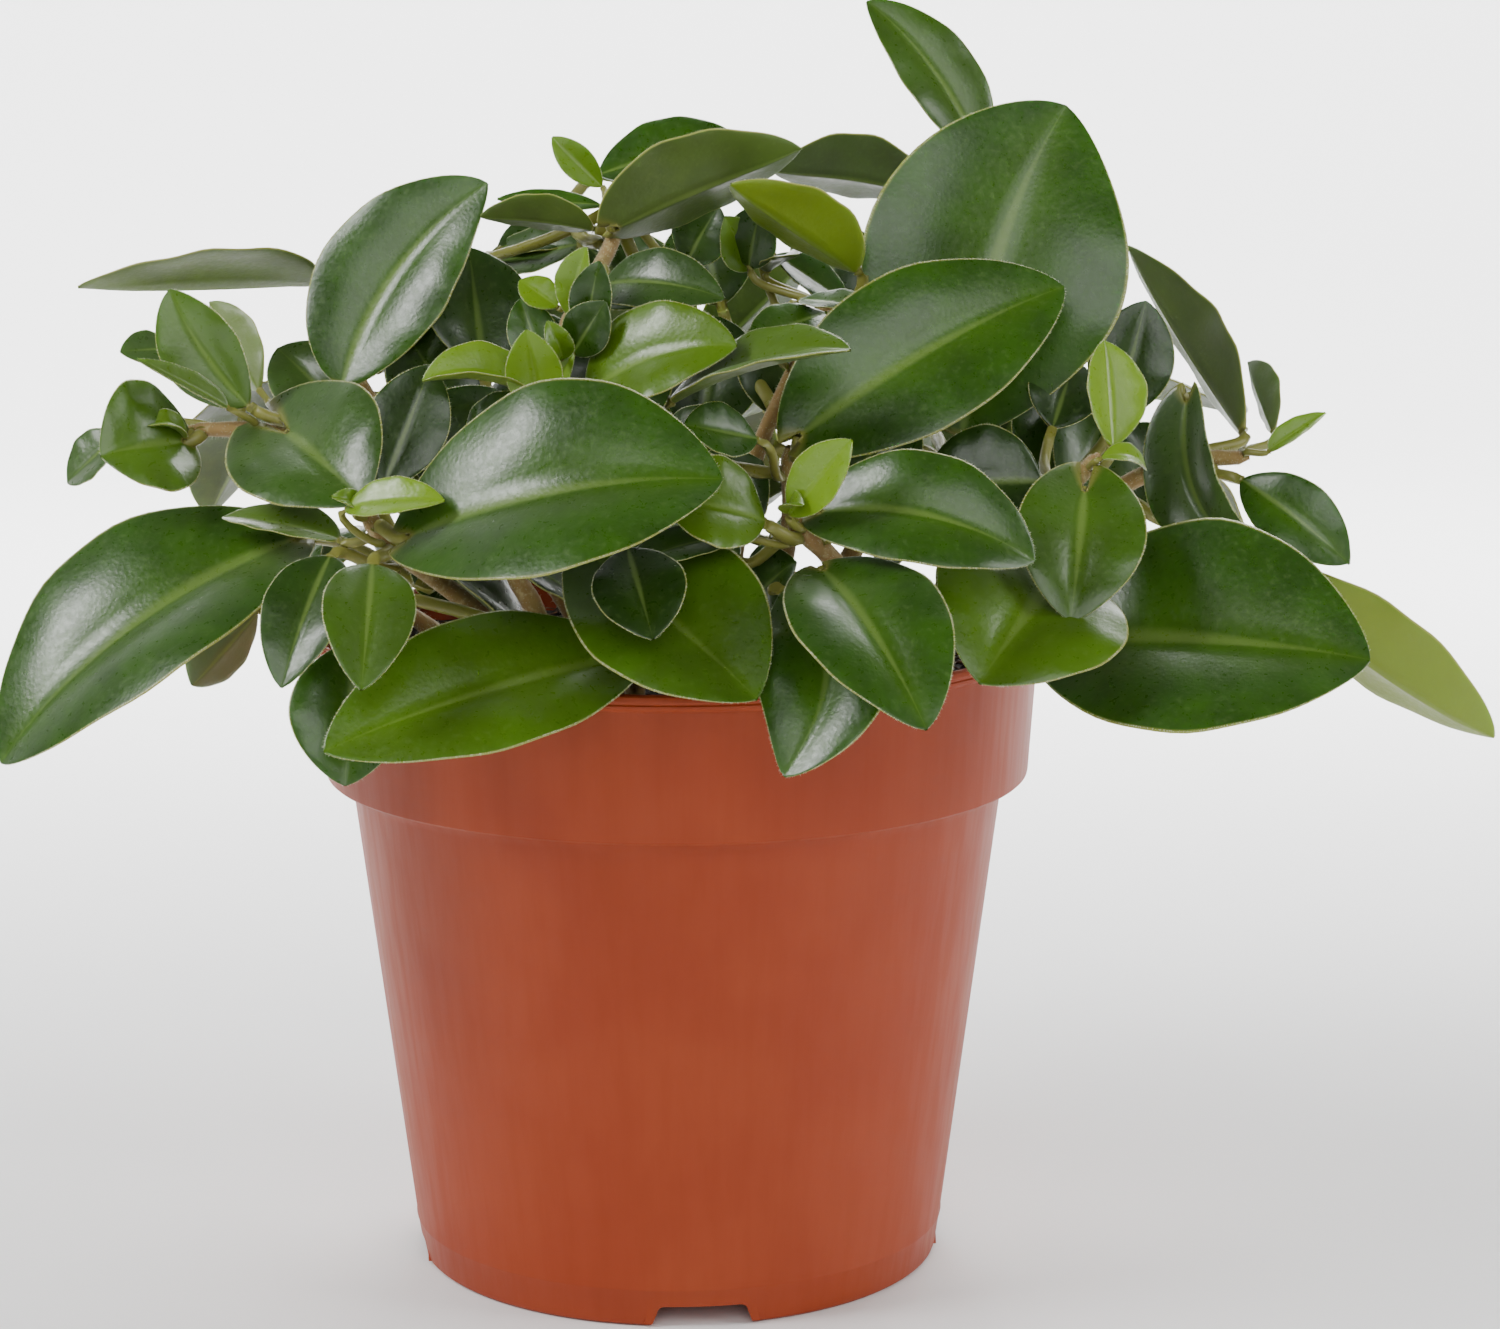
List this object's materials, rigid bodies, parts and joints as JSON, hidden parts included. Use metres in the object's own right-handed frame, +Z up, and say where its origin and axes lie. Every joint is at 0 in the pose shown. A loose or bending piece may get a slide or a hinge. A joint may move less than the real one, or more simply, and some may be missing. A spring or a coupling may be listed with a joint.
{
  "type": "potted peperomia",
  "caption": "Leafy plant with glossy fleshy oval leaves on short creeping stems, planted in soil in a round terracotta-coloured plastic nursery pot.",
  "frame": {"origin": "centre of the pot's underside, in the plane it stands on, on the pot's axis", "axes": "+Z up along the pot's axis; -Y is the side with the front drain slot and faces the viewer; +X to the viewer's right"},
  "size_m": [0.2355, 0.1847, 0.2063],
  "materials": {
    "pot_plastic": "satin",
    "potting_soil": "matte",
    "stem_skin": "matte",
    "leaf_skin": "gloss"
  },
  "bodies": {
    "root": {"pot": "pot_plastic", "soil": "potting_soil", "stem_left": "stem_skin", "stem_front_left": "stem_skin", "stem_low_front": "stem_skin", "stem_front": "stem_skin", "stem_middle": "stem_skin", "stem_inner": "stem_skin", "stem_short": "stem_skin", "stem_tall": "stem_skin", "stem_right": "stem_skin", "stem_far_right": "stem_skin", "stem_left_back": "stem_skin", "stem_back_left": "stem_skin", "stem_back": "stem_skin", "stem_back_right": "stem_skin", "stem_low_left": "stem_skin", "leaf_01": "leaf_skin", "leaf_02": "leaf_skin", "leaf_03": "leaf_skin", "leaf_05": "leaf_skin", "leaf_11": "leaf_skin", "leaf_13": "leaf_skin", "leaf_14": "leaf_skin", "leaf_15": "leaf_skin", "leaf_19": "leaf_skin", "leaf_21": "leaf_skin", "leaf_22": "leaf_skin", "leaf_23": "leaf_skin", "leaf_24": "leaf_skin", "leaf_25": "leaf_skin", "leaf_27": "leaf_skin", "leaf_29": "leaf_skin", "leaf_34": "leaf_skin", "leaf_35": "leaf_skin", "leaf_36": "leaf_skin", "leaf_37": "leaf_skin", "leaf_38": "leaf_skin", "leaf_40": "leaf_skin", "leaf_42": "leaf_skin", "leaf_46": "leaf_skin", "leaf_53": "leaf_skin", "leaf_54": "leaf_skin", "leaf_57": "leaf_skin", "leaf_59": "leaf_skin", "leaf_67": "leaf_skin", "leaf_70": "leaf_skin", "leaf_71": "leaf_skin", "leaf_74": "leaf_skin", "leaf_76": "leaf_skin", "leaf_77": "leaf_skin", "leaf_78": "leaf_skin", "leaf_79": "leaf_skin", "leaf_81": "leaf_skin", "leaf_82": "leaf_skin", "leaf_83": "leaf_skin", "leaf_84": "leaf_skin", "leaf_85": "leaf_skin", "leaf_86": "leaf_skin"}
  },
  "joints": []
}
